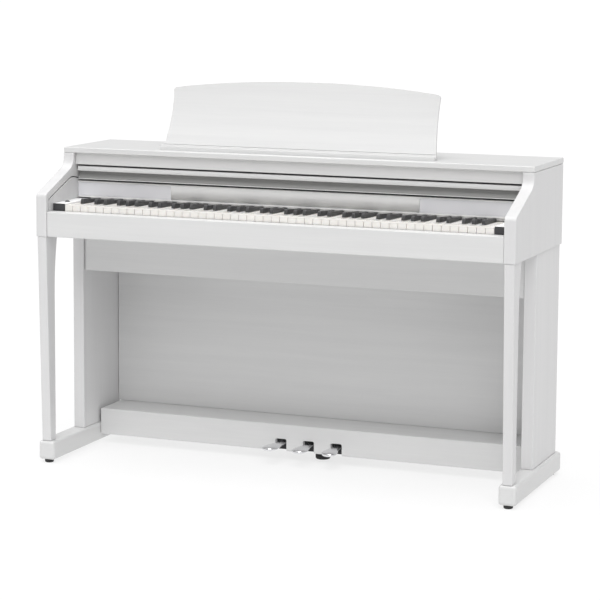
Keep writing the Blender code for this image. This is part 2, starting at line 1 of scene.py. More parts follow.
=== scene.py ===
"""Looks of the digital piano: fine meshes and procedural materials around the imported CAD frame.

Metres, +Z up, +X to the player's right, -Y towards the player, Z = 0 on the floor.
Depths are measured backwards from the front face of the cheeks.
"""

import math

import bmesh
import bpy
from mathutils import Matrix, Vector


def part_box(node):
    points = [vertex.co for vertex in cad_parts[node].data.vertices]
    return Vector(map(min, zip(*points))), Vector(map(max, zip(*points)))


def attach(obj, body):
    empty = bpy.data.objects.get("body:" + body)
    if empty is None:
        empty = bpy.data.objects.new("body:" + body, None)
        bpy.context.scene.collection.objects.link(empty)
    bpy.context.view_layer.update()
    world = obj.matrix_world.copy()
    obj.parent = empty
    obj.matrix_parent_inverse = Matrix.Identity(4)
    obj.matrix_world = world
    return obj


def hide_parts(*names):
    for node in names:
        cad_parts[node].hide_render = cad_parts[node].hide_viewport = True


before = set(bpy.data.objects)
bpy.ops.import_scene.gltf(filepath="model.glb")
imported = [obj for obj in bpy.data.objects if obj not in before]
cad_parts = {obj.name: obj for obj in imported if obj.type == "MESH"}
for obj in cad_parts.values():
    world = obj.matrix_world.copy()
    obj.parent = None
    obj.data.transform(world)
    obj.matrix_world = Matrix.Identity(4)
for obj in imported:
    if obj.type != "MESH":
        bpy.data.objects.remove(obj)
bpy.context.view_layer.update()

CHEEK_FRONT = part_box("left_side_panel")[0].y    # Y of the cheeks' front face
ROOT = "piano"
GAP = 0.0003
SIDES = (("left", -1), ("right", 1))


def at_depth(depth):
    return CHEEK_FRONT + depth


def limits(node, axis):
    """(low, high) of a CAD node along x, y or z."""
    low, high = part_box(node)
    return getattr(low, axis), getattr(high, axis)


def depth_limits(node):
    low, high = limits(node, "y")
    return low - CHEEK_FRONT, high - CHEEK_FRONT


# ---------------------------------------------------------------- node helpers
def new_material(name, roughness, metallic=0.0, specular=0.5, coat=0.0, coat_roughness=0.1):
    made = bpy.data.materials.new(name)
    made.use_nodes = True
    shader = made.node_tree.nodes["Principled BSDF"]
    shader.inputs["Roughness"].default_value = roughness
    shader.inputs["Metallic"].default_value = metallic
    shader.inputs["Specular IOR Level"].default_value = specular
    shader.inputs["Coat Weight"].default_value = coat
    shader.inputs["Coat Roughness"].default_value = coat_roughness
    return made, made.node_tree, shader


def add_node(tree, kind, **settings):
    made = tree.nodes.new(kind)
    for key, value in settings.items():
        if key in made.inputs:
            made.inputs[key].default_value = value
        else:
            setattr(made, key, value)
    return made


def scaled_coordinates(tree, scale):
    """Object coordinates multiplied by a vector, so a noise can be drawn out along one axis."""
    place = add_node(tree, "ShaderNodeTexCoord")
    stretch = add_node(tree, "ShaderNodeMapping")
    stretch.inputs["Scale"].default_value = scale
    tree.links.new(place.outputs["Object"], stretch.inputs["Vector"])
    return stretch.outputs["Vector"]


def noise(tree, scale, detail=4.0, roughness=0.55, distortion=0.0):
    """Fac output of a noise texture with its own stretch, in features per metre."""
    texture = add_node(tree, "ShaderNodeTexNoise")
    texture.inputs["Scale"].default_value = 1.0
    texture.inputs["Detail"].default_value = detail
    texture.inputs["Roughness"].default_value = roughness
    texture.inputs["Distortion"].default_value = distortion
    tree.links.new(scaled_coordinates(tree, scale), texture.inputs["Vector"])
    return texture.outputs["Fac"]


def remap(tree, value, low, high, to_low, to_high):
    node = add_node(tree, "ShaderNodeMapRange")
    for key, number in zip(("From Min", "From Max", "To Min", "To Max"), (low, high, to_low, to_high)):
        node.inputs[key].default_value = number
    tree.links.new(value, node.inputs["Value"])
    return node.outputs["Result"]


def add_values(tree, first, second, share):
    """first + second * share."""
    node = add_node(tree, "ShaderNodeMath", operation="MULTIPLY_ADD")
    tree.links.new(second, node.inputs[0])
    node.inputs[1].default_value = share
    tree.links.new(first, node.inputs[2])
    return node.outputs["Value"]


def blend_colours(tree, factor, first, second):
    mix = add_node(tree, "ShaderNodeMix", data_type="RGBA")
    tree.links.new(factor, mix.inputs["Factor"])
    mix.inputs["A"].default_value = (*first, 1.0)
    mix.inputs["B"].default_value = (*second, 1.0)
    return mix.outputs["Result"]


def even_contrast(tree, value, low=0.3, high=0.7):
    """A noise spread over the whole range from 0 to 1."""
    return remap(tree, value, low, high, 0.0, 1.0)


def colour_surface(tree, shader, factor, first, second):
    tree.links.new(blend_colours(tree, factor, first, second), shader.inputs["Base Color"])


def vary_roughness(tree, shader, value, smooth, rough, low=0.3, high=0.7):
    tree.links.new(remap(tree, value, low, high, smooth, rough), shader.inputs["Roughness"])


def add_bump(tree, shader, height, strength, distance):
    bump = add_node(tree, "ShaderNodeBump")
    bump.inputs["Strength"].default_value = strength
    bump.inputs["Distance"].default_value = distance
    tree.links.new(height, bump.inputs["Height"])
    tree.links.new(bump.outputs["Normal"], shader.inputs["Normal"])


# ---------------------------------------------------------------- materials
def painted_wood(name, along, light, dark, roughness=0.40):
    """Satin lacquer through which a faint straight grain shows, running along one axis: white on the cabinet,
    and grey on the key cover's cove, where the grey is painted shade.
    """
    made, tree, shader = new_material(name, roughness, coat=0.12, coat_roughness=0.25)
    fine = [420.0, 420.0, 420.0]
    broad = [34.0, 34.0, 34.0]
    axis = "xyz".index(along)
    fine[axis] = 7.0
    broad[axis] = 1.6
    grain = noise(tree, fine, detail=5.0, roughness=0.65, distortion=0.15)
    figure = noise(tree, broad, detail=3.0, distortion=0.6)
    cloudy = remap(tree, figure, 0.35, 0.65, 0.0, 0.6)
    tone = add_values(tree, cloudy, even_contrast(tree, grain, 0.35), 0.4)
    colour_surface(tree, shader, tone, dark, light)
    vary_roughness(tree, shader, grain, roughness - 0.04, roughness + 0.06)
    peel = noise(tree, (260.0, 260.0, 260.0), detail=2.0)
    add_bump(tree, shader, add_values(tree, grain, peel, 0.5), 0.10, 0.00025)
    return made


def moulded_plastic(name, light, dark, roughness, stipple=900.0, depth=0.00006, coat=0.0):
    """Plastic with a fine spark-eroded texture and a slow drift of tone."""
    made, tree, shader = new_material(name, roughness, coat=coat, coat_roughness=0.08)
    drift = noise(tree, (9.0, 9.0, 9.0), detail=3.0)
    colour_surface(tree, shader, even_contrast(tree, drift), dark, light)
    pits = noise(tree, (stipple, stipple, stipple), detail=2.0)
    vary_roughness(tree, shader, pits, roughness - 0.04, roughness + 0.05)
    add_bump(tree, shader, pits, 0.25, depth)
    return made


def key_covering(name):
    """Warm white key tops: glossy, with a very faint grain running along each key."""
    made, tree, shader = new_material(name, 0.22, coat=0.35, coat_roughness=0.12)
    shader.inputs["Subsurface Weight"].default_value = 0.06
    shader.inputs["Subsurface Radius"].default_value = (0.004, 0.003, 0.002)
    lines = noise(tree, (900.0, 26.0, 900.0), detail=3.0, roughness=0.6)
    drift = noise(tree, (30.0, 6.0, 30.0), detail=2.0)
    patches = remap(tree, drift, 0.3, 0.7, 0.0, 0.6)
    tone = add_values(tree, patches, even_contrast(tree, lines, 0.35, 0.65), 0.4)
    colour_surface(tree, shader, tone, (0.80, 0.775, 0.74), (0.86, 0.84, 0.81))
    vary_roughness(tree, shader, lines, 0.18, 0.30)
    add_bump(tree, shader, lines, 0.12, 0.00006)
    return made


def ebony_key(name):
    """Satin black with the fine open grain that sharps are moulded with."""
    made, tree, shader = new_material(name, 0.42)
    pores = noise(tree, (1400.0, 60.0, 1400.0), detail=4.0, roughness=0.7)
    drift = noise(tree, (60.0, 14.0, 60.0), detail=2.0)
    patches = remap(tree, drift, 0.3, 0.7, 0.0, 0.5)
    tone = add_values(tree, patches, even_contrast(tree, pores, 0.35), 0.5)
    colour_surface(tree, shader, tone, (0.034, 0.034, 0.036), (0.075, 0.075, 0.077))
    vary_roughness(tree, shader, pores, 0.34, 0.52)
    add_bump(tree, shader, pores, 0.30, 0.00010)
    return made


def bright_metal(name, light, dark, roughness, along="y"):
    """Metal with fine polishing lines along one axis and a few dull smudges."""
    made, tree, shader = new_material(name, roughness, metallic=1.0)
    fine = [2200.0, 2200.0, 2200.0]
    fine["xyz".index(along)] = 30.0
    lines = noise(tree, fine, detail=3.0)
    smudge = noise(tree, (45.0, 45.0, 45.0), detail=4.0)
    colour_surface(tree, shader, even_contrast(tree, smudge), dark, light)
    dulled = remap(tree, smudge, 0.35, 0.75, roughness - 0.03, roughness + 0.10)
    tree.links.new(add_values(tree, dulled, lines, 0.05), shader.inputs["Roughness"])
    add_bump(tree, shader, lines, 0.10, 0.00004)
    return made


def black_rubber(name):
    made, tree, shader = new_material(name, 0.75)
    pits = noise(tree, (700.0, 700.0, 700.0), detail=4.0)
    colour_surface(tree, shader, pits, (0.012, 0.012, 0.012), (0.035, 0.035, 0.036))
    vary_roughness(tree, shader, pits, 0.65, 0.85)
    add_bump(tree, shader, pits, 0.4, 0.0002)
    return made


def woven_cloth(name, light, dark):
    """Felt and grille cloth: crossing threads with a soft sheen."""
    made, tree, shader = new_material(name, 0.9)
    shader.inputs["Sheen Weight"].default_value = 0.3
    warp = noise(tree, (2600.0, 160.0, 160.0), detail=1.0)
    weft = noise(tree, (160.0, 2600.0, 2600.0), detail=1.0)
    threads = add_values(tree, warp, weft, 1.0)
    colour_surface(tree, shader, even_contrast(tree, threads, 0.7, 1.3), dark, light)
    vary_roughness(tree, shader, threads, 0.82, 0.98, 0.7, 1.3)
    add_bump(tree, shader, threads, 0.5, 0.0003)
    return made


def circuit_board(name):
    """Green solder mask with paler tracks."""
    made, tree, shader = new_material(name, 0.35, coat=0.4)
    cells = add_node(tree, "ShaderNodeTexVoronoi", feature="DISTANCE_TO_EDGE")
    cells.inputs["Scale"].default_value = 160.0
    place = add_node(tree, "ShaderNodeTexCoord")
    tree.links.new(place.outputs["Object"], cells.inputs["Vector"])
    track = remap(tree, cells.outputs["Distance"], 0.03, 0.06, 1.0, 0.0)
    colour_surface(tree, shader, track, (0.015, 0.09, 0.04), (0.05, 0.22, 0.11))
    add_bump(tree, shader, track, 0.3, 0.0001)
    return made


WHITE_LIGHT = (0.685, 0.685, 0.683)
WHITE_DARK = (0.645, 0.645, 0.645)
WOOD_X = painted_wood("white_lacquer_grain_x", "x", WHITE_LIGHT, WHITE_DARK)
WOOD_Z = painted_wood("white_lacquer_grain_z", "z", (0.680, 0.678, 0.680), (0.640, 0.637, 0.642))
WOOD_Y = painted_wood("white_lacquer_grain_y", "y", WHITE_LIGHT, WHITE_DARK)
PANEL_WHITE = moulded_plastic("white_panel_plastic", (0.90, 0.90, 0.895), (0.88, 0.88, 0.88), 0.62)
INLAY_GREY = moulded_plastic("grey_inlay_plastic", (0.76, 0.76, 0.785), (0.72, 0.72, 0.745), 0.58,
                             stipple=1300.0)
# The cove's dark grey is painted shade: it stands in for the shadow under the key cover's bar.
COVE_PAINTED_SHADE = painted_wood("cove_painted_shade_lacquer", "x", (0.25, 0.25, 0.245), (0.22, 0.22, 0.215))
# Charcoal plastic for the rear cover, chassis, knobs and grille rings; on the cheek blocks' front plates the
# same charcoal is painted shade.
CHARCOAL_AND_PAINTED_SHADE = moulded_plastic("charcoal_plastic_and_painted_shade", (0.050, 0.050, 0.053), (0.036, 0.036, 0.039), 0.48)
IVORY = key_covering("warm_white_key_tops")
EBONY = ebony_key("satin_black_sharps")
SILVER = bright_metal("polished_silver", (0.86, 0.86, 0.87), (0.74, 0.74, 0.76), 0.16)
STEEL = bright_metal("brushed_steel", (0.62, 0.62, 0.63), (0.48, 0.48, 0.50), 0.32, along="x")
RUBBER = black_rubber("black_rubber")
# Dark felt for linings, pads and backings; in the key cover's groove the same felt is painted shade.
FELT_AND_PAINTED_SHADE = woven_cloth("dark_felt_and_painted_shade", (0.045, 0.045, 0.048), (0.015, 0.015, 0.017))
GRILLE = woven_cloth("grille_cloth", (0.07, 0.07, 0.072), (0.012, 0.012, 0.013))
BOARD_GREEN = circuit_board("green_circuit_board")
CONE = woven_cloth("speaker_cone", (0.06, 0.06, 0.06), (0.02, 0.02, 0.02))


# ---------------------------------------------------------------- mesh helpers
def mesh_object(name, build, finish, smooth_angle=35.0):
    """Builds a mesh in world coordinates, shades it smooth below an angle and gives it its material."""
    work = bmesh.new()
    build(work)
    bmesh.ops.remove_doubles(work, verts=work.verts[:], dist=1e-6)
    bmesh.ops.recalc_face_normals(work, faces=work.faces[:])
    mesh = bpy.data.meshes.new(name)
    work.to_mesh(mesh)
    work.free()
    made = bpy.data.objects.new(name, mesh)
    bpy.context.scene.collection.objects.link(made)
    mesh.materials.append(finish)
    mesh.shade_smooth()
    mesh.set_sharp_from_angle(angle=math.radians(smooth_angle))
    return made


def soften(piece, width, segments=3, angle=40.0):
    """Rounds the hard edges, then weights the normals so the flat faces stay flat."""
    piece.data.set_sharp_from_angle(angle=math.pi)
    bevel = piece.modifiers.new("round_edges", "BEVEL")
    bevel.width = width
    bevel.segments = segments
    bevel.limit_method = "ANGLE"
    bevel.angle_limit = math.radians(angle)
    bevel.use_clamp_overlap = True
    normals = piece.modifiers.new("flat_faces", "WEIGHTED_NORMAL")
    normals.weight = 100
    normals.keep_sharp = False
    return piece


def cut(piece, cutter):
    """Subtracts a helper from a piece, before its edges are rounded."""
    change = piece.modifiers.new("cut_" + cutter.name, "BOOLEAN")
    change.operation = "DIFFERENCE"
    change.solver = "EXACT"
    change.object = cutter
    cutter.hide_render = True
    cutter.hide_viewport = True
    helpers.append(cutter)
    return piece


helpers = []


def settle(piece):
    """Makes a piece's cuts permanent, so that the helpers can be removed."""
    view = bpy.context.evaluated_depsgraph_get()
    view.update()
    baked = bpy.data.meshes.new_from_object(piece.evaluated_get(view))
    piece.modifiers.clear()
    piece.data = baked
    baked.shade_smooth()
    baked.set_sharp_from_angle(angle=math.radians(35.0))
    while helpers:
        bpy.data.objects.remove(helpers.pop(), do_unlink=True)
    return piece


def add_prism(work, points, lift):
    face = work.faces.new([work.verts.new(point) for point in points])
    swept = bmesh.ops.extrude_face_region(work, geom=[face])["geom"]
    bmesh.ops.translate(work, verts=[v for v in swept if isinstance(v, bmesh.types.BMVert)], vec=lift)


def add_box(work, x, depth, z):
    corners = [(x[0], z[0]), (x[1], z[0]), (x[1], z[1]), (x[0], z[1])]
    points = [Vector((across, at_depth(depth[0]), up)) for across, up in corners]
    add_prism(work, points, Vector((0, depth[1] - depth[0], 0)))


def box(name, x, depth, z, finish):
    return mesh_object(name, lambda work: add_box(work, x, depth, z), finish)


def side_profile(name, outline, x, finish):
    """Extrudes an outline of (depth, z) points along X."""
    points = [Vector((x[0], at_depth(depth), z)) for depth, z in outline]
    return mesh_object(name, lambda work: add_prism(work, points, Vector((x[1] - x[0], 0, 0))), finish)


def add_turned(work, profile, centre, steps=48, axis=(0, 0, 1)):
    """Spins a profile of (radius, height) points about a line through centre."""
    turn = Vector((0, 0, 1)).rotation_difference(Vector(axis)).to_matrix().to_4x4()
    start = [work.verts.new((radius, 0.0, height)) for radius, height in profile]
    edges = [work.edges.new(pair) for pair in zip(start, start[1:])]
    before = set(work.verts) - set(start)
    bmesh.ops.spin(work, geom=start + edges, cent=(0, 0, 0), axis=(0, 0, 1), angle=math.tau, steps=steps,
                   use_merge=True, use_duplicate=False)
    spun = [v for v in work.verts if v not in before]
    bmesh.ops.transform(work, verts=spun, matrix=Matrix.Translation(Vector(centre)) @ turn)


def turned(name, profile, centre, finish, steps=48, axis=(0, 0, 1)):
    return mesh_object(name, lambda work: add_turned(work, profile, centre, steps, axis), finish)


def corner_arc(before, corner, after, reach, steps=10):
    corner = Vector(corner)
    start = corner + (Vector(before) - corner).normalized() * reach
    end = corner + (Vector(after) - corner).normalized() * reach
    bend = []
    for step in range(steps + 1):
        t = step / steps
        bend.append(tuple(start * (1 - t) ** 2 + corner * 2 * t * (1 - t) + end * t ** 2))
    return bend


def rounded_outline(points, radius, steps=4):
    """Every corner of a closed outline replaced by a small arc."""
    out = []
    for index, corner in enumerate(points):
        out += corner_arc(points[index - 1], corner, points[(index + 1) % len(points)], radius, steps)
    return out


def place(piece, body, slot, *nodes):
    """Says which body a piece rides on and hides the CAD nodes it stands for; the slot argument is not used.
    """
    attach(piece, body)
    if nodes:
        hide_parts(*nodes)
    return piece


def board(node, finish, radius=0.0016, segments=4, body=ROOT):
    """A rounded board that fills the place of one box-shaped CAD node."""
    piece = box(node + "_board", limits(node, "x"), depth_limits(node), limits(node, "z"), finish)
    soften(piece, radius, segments)
    return place(piece, body, node, node)


# ---------------------------------------------------------------- cabinet
GROOVE_WIDTH = 0.0032
GROOVE_DEPTH = 0.006
PANEL_X = limits("right_side_panel", "x")
PANEL_FOOT, PANEL_HEAD = limits("right_side_panel", "z")
PANEL_BACK = depth_limits("right_side_panel")[1]
SLOPE_START = 0.7528
SLOPE_RISE = 0.4080
TOP_FRONT = depth_limits("top_board")[0]
SLIP_TOP = limits("key_slip", "z")[1]


def cheek_outline():
    foot, knee = (0.0, PANEL_FOOT), (0.0, SLOPE_START)
    elbow = (TOP_FRONT, SLOPE_START + SLOPE_RISE * TOP_FRONT)
    head = (TOP_FRONT, PANEL_HEAD)
    outline = [foot]
    outline += corner_arc(foot, knee, elbow, 0.010, 8)
    outline += corner_arc(knee, elbow, head, 0.028, 16)
    return outline + [head, (PANEL_BACK, PANEL_HEAD), (PANEL_BACK, PANEL_FOOT)]


def guide_path():
    """Centre line of the groove that steers the key cover's rail."""
    start, crest = (0.214, 0.7775), (0.150, 0.7895)
    toe, end = (0.0165, 0.7385), (0.0118, SLIP_TOP + 0.003)
    return [start, *corner_arc(start, crest, toe, 0.016, 8), *corner_arc(crest, toe, end, 0.008, 6), end]


def band(path, width):
    left, right = [], []
    for index, point in enumerate(path):
        ahead = Vector(path[min(index + 1, len(path) - 1)])
        behind = Vector(path[max(index - 1, 0)])
        along = (ahead - behind).normalized()
        across = Vector((-along.y, along.x)) * width / 2
        left.append(tuple(Vector(point) + across))
        right.append(tuple(Vector(point) - across))
    return left + right[::-1]


def build_cabinet():
    for label, side in SIDES:
        node = label + "_side_panel"
        panel = side_profile(node + "_lacquered", cheek_outline(), limits(node, "x"), WOOD_Z)
        x = sorted((side * (PANEL_X[0] - 0.002), side * (PANEL_X[0] + GROOVE_DEPTH)))
        groove = side_profile(label + "_groove", band(guide_path(), GROOVE_WIDTH), x, FELT_AND_PAINTED_SHADE)
        soften(panel, 0.0016, 4)
        cut(panel, groove)
        settle(panel)
        place(panel, ROOT, node, node)
        # A dark felt strip near the groove's bottom, as painted shade that darkens the groove.
        x = sorted((side * (PANEL_X[0] + 0.0042), side * (PANEL_X[0] + 0.0055)))
        liner = side_profile(label + "_groove_shade_liner", band(guide_path(), GROOVE_WIDTH - 0.0002), x, FELT_AND_PAINTED_SHADE)
        place(liner, ROOT, node)
    board("top_board", WOOD_X, 0.0026, 5)
    board("upper_fascia", WOOD_X, 0.0012)
    board("back_board", WOOD_X, 0.0010, 2)
    board("rear_cover", CHARCOAL_AND_PAINTED_SHADE, 0.0010, 2)


def build_key_slip():
    node = "key_slip"
    front, back = depth_limits(node)
    foot, top = limits(node, "z")
    web, flange = 0.019, 0.012
    outline = [(front, foot), (front, top), (back, top), (back, top - flange), (front + web, top - flange),
               (front + web, foot)]
    piece = side_profile("key_slip_rail", outline, limits(node, "x"), WOOD_X)
    soften(piece, 0.0024, 5)
    place(piece, ROOT, node, node)


# ---------------------------------------------------------------- controls
SEAM_WIDTH = 0.0009
SEAM_DEPTH = 0.0012
RECESS_DEPTH = 0.003
RECESS_OUT = 0.66           # X where the inlays' recesses end, beyond the panel's ends
SKIRT_FOOT = 0.7205         # the hanging strip behind the sharps stops this high, above the naturals
SKIRT_SIDE = 0.0365         # its ends stand this far in from the panel's
PLATE = 0.0040              # thickness of the front plates, whose charcoal colour is painted shade
WELL_X = 0.631
WELL_HALF = 0.0065
WELL_DEEP = 0.006
WELLS = {"left": ("volume_slider", (0.085, 0.115)), "right": ("power_button", (0.0935, 0.1065))}


def build_controls():
    """The strip behind the keys: a seam along its foot and a recessed grey inlay at each end."""
    node = "control_panel"
    face, back = depth_limits(node)
    low, top = limits(node, "z")
    x = limits(node, "x")
    inlay_low, inlay_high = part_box("right_control_inlay")
    piece = box("control_panel_moulding", x, (face, back), (low, top), PANEL_WHITE)
    soften(piece, 0.0010, 4)
    recess_z = (inlay_low.z - GAP, inlay_high.z + GAP)
    seam = box("panel_seam", (x[0] - 0.01, x[1] + 0.01), (face - 0.01, face + SEAM_DEPTH),
               (recess_z[0] - SEAM_WIDTH, recess_z[0]), PANEL_WHITE)
    cut(piece, seam)
    for label, side in SIDES:
        across = sorted((side * (inlay_low.x - GAP), side * RECESS_OUT))
        recess = box(label + "_recess", across, (face - 0.01, face + RECESS_DEPTH), recess_z, PANEL_WHITE)
        cut(piece, recess)
    settle(piece)
    place(piece, ROOT, node, node)
    skirt = box("panel_skirt", (x[0] + SKIRT_SIDE, x[1] - SKIRT_SIDE), (face + 0.0065, back - 0.0015),
                (SKIRT_FOOT, low - GAP), PANEL_WHITE)
    soften(skirt, 0.0006, 2)
    place(skirt, ROOT, node)
    for label, side in SIDES:
        board(label + "_control_inlay", INLAY_GREY, 0.0005, 3)
    build_end_blocks()


def build_end_blocks():
    """White blocks with a front plate in charcoal, which is painted shade on their fronts; one has the volume
    slider, the other the power button.
    """
    for label, side in SIDES:
        node = label + "_cheek_block"
        x, z = limits(node, "x"), limits(node, "z")
        front, back = depth_limits(node)
        piece = box(node + "_moulding", x, (front + PLATE + GAP, back), z, PANEL_WHITE)
        control, well = WELLS[label]
        middle = side * WELL_X
        recess = box(label + "_well", (middle - WELL_HALF, middle + WELL_HALF), well,
                     (z[1] - WELL_DEEP, z[1] + WELL_DEEP), CHARCOAL_AND_PAINTED_SHADE)
        soften(piece, 0.0012, 4)
        cut(piece, recess)
        settle(piece)
        place(piece, ROOT, node, node)
        # The front plate's charcoal is painted shade: it darkens the block's front while its top stays white.
        face = box(node + "_front_shade_plate", x, (front, front + PLATE), z, CHARCOAL_AND_PAINTED_SHADE)
        soften(face, 0.0012, 4)
        place(face, ROOT, "key_chassis")
        play = 0.0002
        liner = box(label + "_well_liner", (middle - WELL_HALF + play, middle + WELL_HALF - play),
                    (well[0] + play, well[1] - play), (z[1] - 0.0059, z[1] - 0.0050), FELT_AND_PAINTED_SHADE)
        place(liner, ROOT, "key_chassis")
        knob = box(control + "_cap", limits(control, "x"), depth_limits(control), limits(control, "z"),
                   CHARCOAL_AND_PAINTED_SHADE)
        soften(knob, 0.0012, 4)
        place(knob, control, control, control)


# ---------------------------------------------------------------- key cover
COVER_FRONT = 0.178
RAIL_BOTTOM = limits("key_cover_front", "z")[0]
BAR_TOP = 0.8160
COVE_TOP = BAR_TOP - 0.0130
COVE_HOLLOW = 0.0112
RAIL_BACK = COVER_FRONT + 0.0145
CROWN_BACK = COVER_FRONT + 0.017


def cove_path():
    """The finger pull's hollow: it cuts back sharply under the bar, then comes forward down to the lip."""
    bottom, steps = RAIL_BOTTOM + 0.0012, 32
    path = []
    for step in range(steps + 1):
        t = step / steps
        inward = math.sin(math.pi * t ** 0.55) ** 0.75
        path.append((COVER_FRONT + 0.0004 + COVE_HOLLOW * inward, COVE_TOP + (bottom - COVE_TOP) * t))
    return path


def build_key_cover():
    node = "key_cover_front"
    x = limits(node, "x")
    hinge = depth_limits(node)[1]
    under, top = limits("key_cover_rear", "z")
    bar = [(COVER_FRONT - 0.0010, BAR_TOP - 0.0095), (COVER_FRONT - 0.0015, BAR_TOP - 0.0050),
           (COVER_FRONT, BAR_TOP)]
    nose = corner_arc(bar[0], bar[1], bar[2], 0.0035, 6)
    crown = corner_arc(bar[1], bar[2], (CROWN_BACK, BAR_TOP), 0.0016, 6)
    brow, throat = (COVER_FRONT - 0.0006, COVE_TOP), (COVER_FRONT + 0.0040, COVE_TOP - 0.0004)
    outline = crown[::-1] + nose[::-1] + corner_arc(nose[0], brow, throat, 0.0018, 6)
    outline += [(depth + 0.0003, z) for depth, z in cove_path()[2:]]
    outline += [(COVER_FRONT + 0.0008, RAIL_BOTTOM), (COVER_FRONT + 0.0045, RAIL_BOTTOM),
                (RAIL_BACK - 0.0005, RAIL_BOTTOM + 0.0110), (RAIL_BACK, under), (hinge, under), (hinge, top),
                (CROWN_BACK + 0.001, top), (CROWN_BACK, BAR_TOP)]
    piece = side_profile("key_cover_pull_rail", outline, x, WOOD_X)
    place(piece, node, node, node)
    # A thin skin over the cove, coloured dark grey as painted shade for the shadow under the bar.
    path = cove_path()[1:-1]
    painted_shade_skin = path + [(depth + 0.0008, z) for depth, z in path[::-1]]
    lining = side_profile("key_cover_cove_painted_shade", painted_shade_skin, (x[0] + 0.0005, x[1] - 0.0005), COVE_PAINTED_SHADE)
    place(lining, node, node)
    board("key_cover_rear", WOOD_X, 0.0008, 3, body="key_cover_rear")


# ---------------------------------------------------------------- keyboard
KEY_PITCH = 0.0235
WHITE_KEYS = 52
KEYBOARD = KEY_PITCH * WHITE_KEYS
WHITE_STEPS = (0, 2, 4, 5, 7, 9, 11)
NOTE_NAMES = ("C", "Cs", "D", "Ds", "E", "F", "Fs", "G", "Gs", "A", "As", "B")
BLACK_SLOT = 0.0128
BLACK_WIDTH = 0.0104
KEY_FRONT = depth_limits("key_C4")[0]
KEY_REAR = 0.266
KEY_PIVOT = 0.262
KEY_PIVOT_DROP = 0.006  # the hinge line lies this far below the naturals' tops
WHITE_TOP = 0.7169      # heights and depths before the keys are tipped up about their hinge line
KEY_BOTTOM = 0.6992
BLACK_TOP = 0.7306
BLACK_REAR_TOP = 0.7242
KEY_TIP_UP = math.radians(1.4)
BLACK_FRONT = 0.0886
BLACK_BACK = 0.192
HEAD_GAP = 0.00016      # from a natural's edge to the line between it and the next
KEY_GROUPS = (("keys_A0_to_B1", 9, 23), ("keys_C2_to_B2", 24, 35), ("keys_C3_to_B3", 36, 47),
              ("keys_C5_to_B5", 60, 71), ("keys_C6_to_B6", 72, 83), ("keys_C7_to_C8", 84, 96))


def octave_slots():
    low_tail = (3 * KEY_PITCH - 2 * BLACK_SLOT) / 3
    high_tail = (4 * KEY_PITCH - 3 * BLACK_SLOT) / 4
    slots, x = [], 0.0
    for step in range(12):
        width = BLACK_SLOT if step not in WHITE_STEPS else low_tail if step < 5 else high_tail
        slots.append((x, x + width))
        x += width
    return slots


def key_shape(note):
    """(is_white, head range, tail range) of a note; note 9 is the lowest A and 96 the highest C."""
    octave, step = divmod(note, 12)
    left = -KEYBOARD / 2 + (octave * 7 - 5) * KEY_PITCH
    low, high = (left + edge for edge in octave_slots()[step])
    if step not in WHITE_STEPS:
        middle = (low + high) / 2
        return False, None, (middle - BLACK_WIDTH / 2, middle + BLACK_WIDTH / 2)
    start = left + WHITE_STEPS.index(step) * KEY_PITCH
    head = (start + HEAD_GAP, start + KEY_PITCH - HEAD_GAP)
    low = head[0] if note == 9 else max(low, head[0])
    high = head[1] if note == 96 else min(high, head[1])
    return True, head, (low, high)


def tip_up(work):
    """Turns one finished key about the hinge line, so its front stands up as it does at rest."""
    centre = Vector((0.0, at_depth(KEY_PIVOT), WHITE_TOP - KEY_PIVOT_DROP))
    loose = [vertex for vertex in work.verts if not vertex.tag]
    bmesh.ops.rotate(work, verts=loose, cent=centre, matrix=Matrix.Rotation(-KEY_TIP_UP, 3, "X"))
    for vertex in loose:
        vertex.tag = True


def add_white_key(work, head, tail):
    """A natural: rounded plan corners, a top that stands a hair proud of its front and softened edges."""
    step_in = 0.0008        # a head is notched where its tail is narrower by more than this
    shoulder = BLACK_FRONT - 0.0008
    corners = [(head[0], KEY_FRONT, 0.0011), (head[1], KEY_FRONT, 0.0011)]
    if head[1] - tail[1] > step_in:
        corners += [(head[1], shoulder, 0.0007), (tail[1], shoulder, 0.0006)]
    corners += [(tail[1], KEY_REAR, 0.0002), (tail[0], KEY_REAR, 0.0002)]
    if tail[0] - head[0] > step_in:
        corners += [(tail[0], shoulder, 0.0006), (head[0], shoulder, 0.0007)]
    plan = []
    for index, (x, depth, reach) in enumerate(corners):
        before, after = corners[index - 1], corners[(index + 1) % len(corners)]
        plan += corner_arc(before[:2], (x, depth), after[:2], reach, 3)
    layers = ((KEY_BOTTOM, 0.0004), (WHITE_TOP - 0.0034, 0.0004), (WHITE_TOP - 0.0030, 0.0),
              (WHITE_TOP - 0.0004, 0.0), (WHITE_TOP - 0.0001, 0.0001), (WHITE_TOP, 0.0004))
    rings = []
    for z, inset in layers:
        ring = []
        for index, (x, depth) in enumerate(plan):
            before, after = Vector(plan[index - 1]), Vector(plan[(index + 1) % len(plan)])
            along = after - before
            outward = Vector((along.y, -along.x)).normalized() if along.length > 1e-9 else Vector((0, -1))
            point = Vector((x, depth)) - outward * inset
            ring.append(work.verts.new((point.x, at_depth(point.y), z)))
        rings.append(ring)
    for lower, upper in zip(rings, rings[1:]):
        for index in range(len(plan)):
            after = (index + 1) % len(plan)
            work.faces.new((lower[index], lower[after], upper[after], upper[index]))
    work.faces.new(rings[0][::-1])
    work.faces.new(rings[-1])
    tip_up(work)


def black_section(depth, low, high, top, foot):
    """Cross-section of a sharp: sides that draw in and rounded shoulders, from its lower left corner round."""
    draw, round_off = 0.0007, 0.0014
    left_foot, right_foot = (low, foot), (high, foot)
    left_top, right_top = (low + draw, top), (high - draw, top)
    path = [left_foot]
    path += corner_arc(left_foot, left_top, right_top, round_off, 5)
    path += corner_arc(left_top, right_top, right_foot, round_off, 5)
    path.append(right_foot)
    return [(x, at_depth(depth), z) for x, z in path]


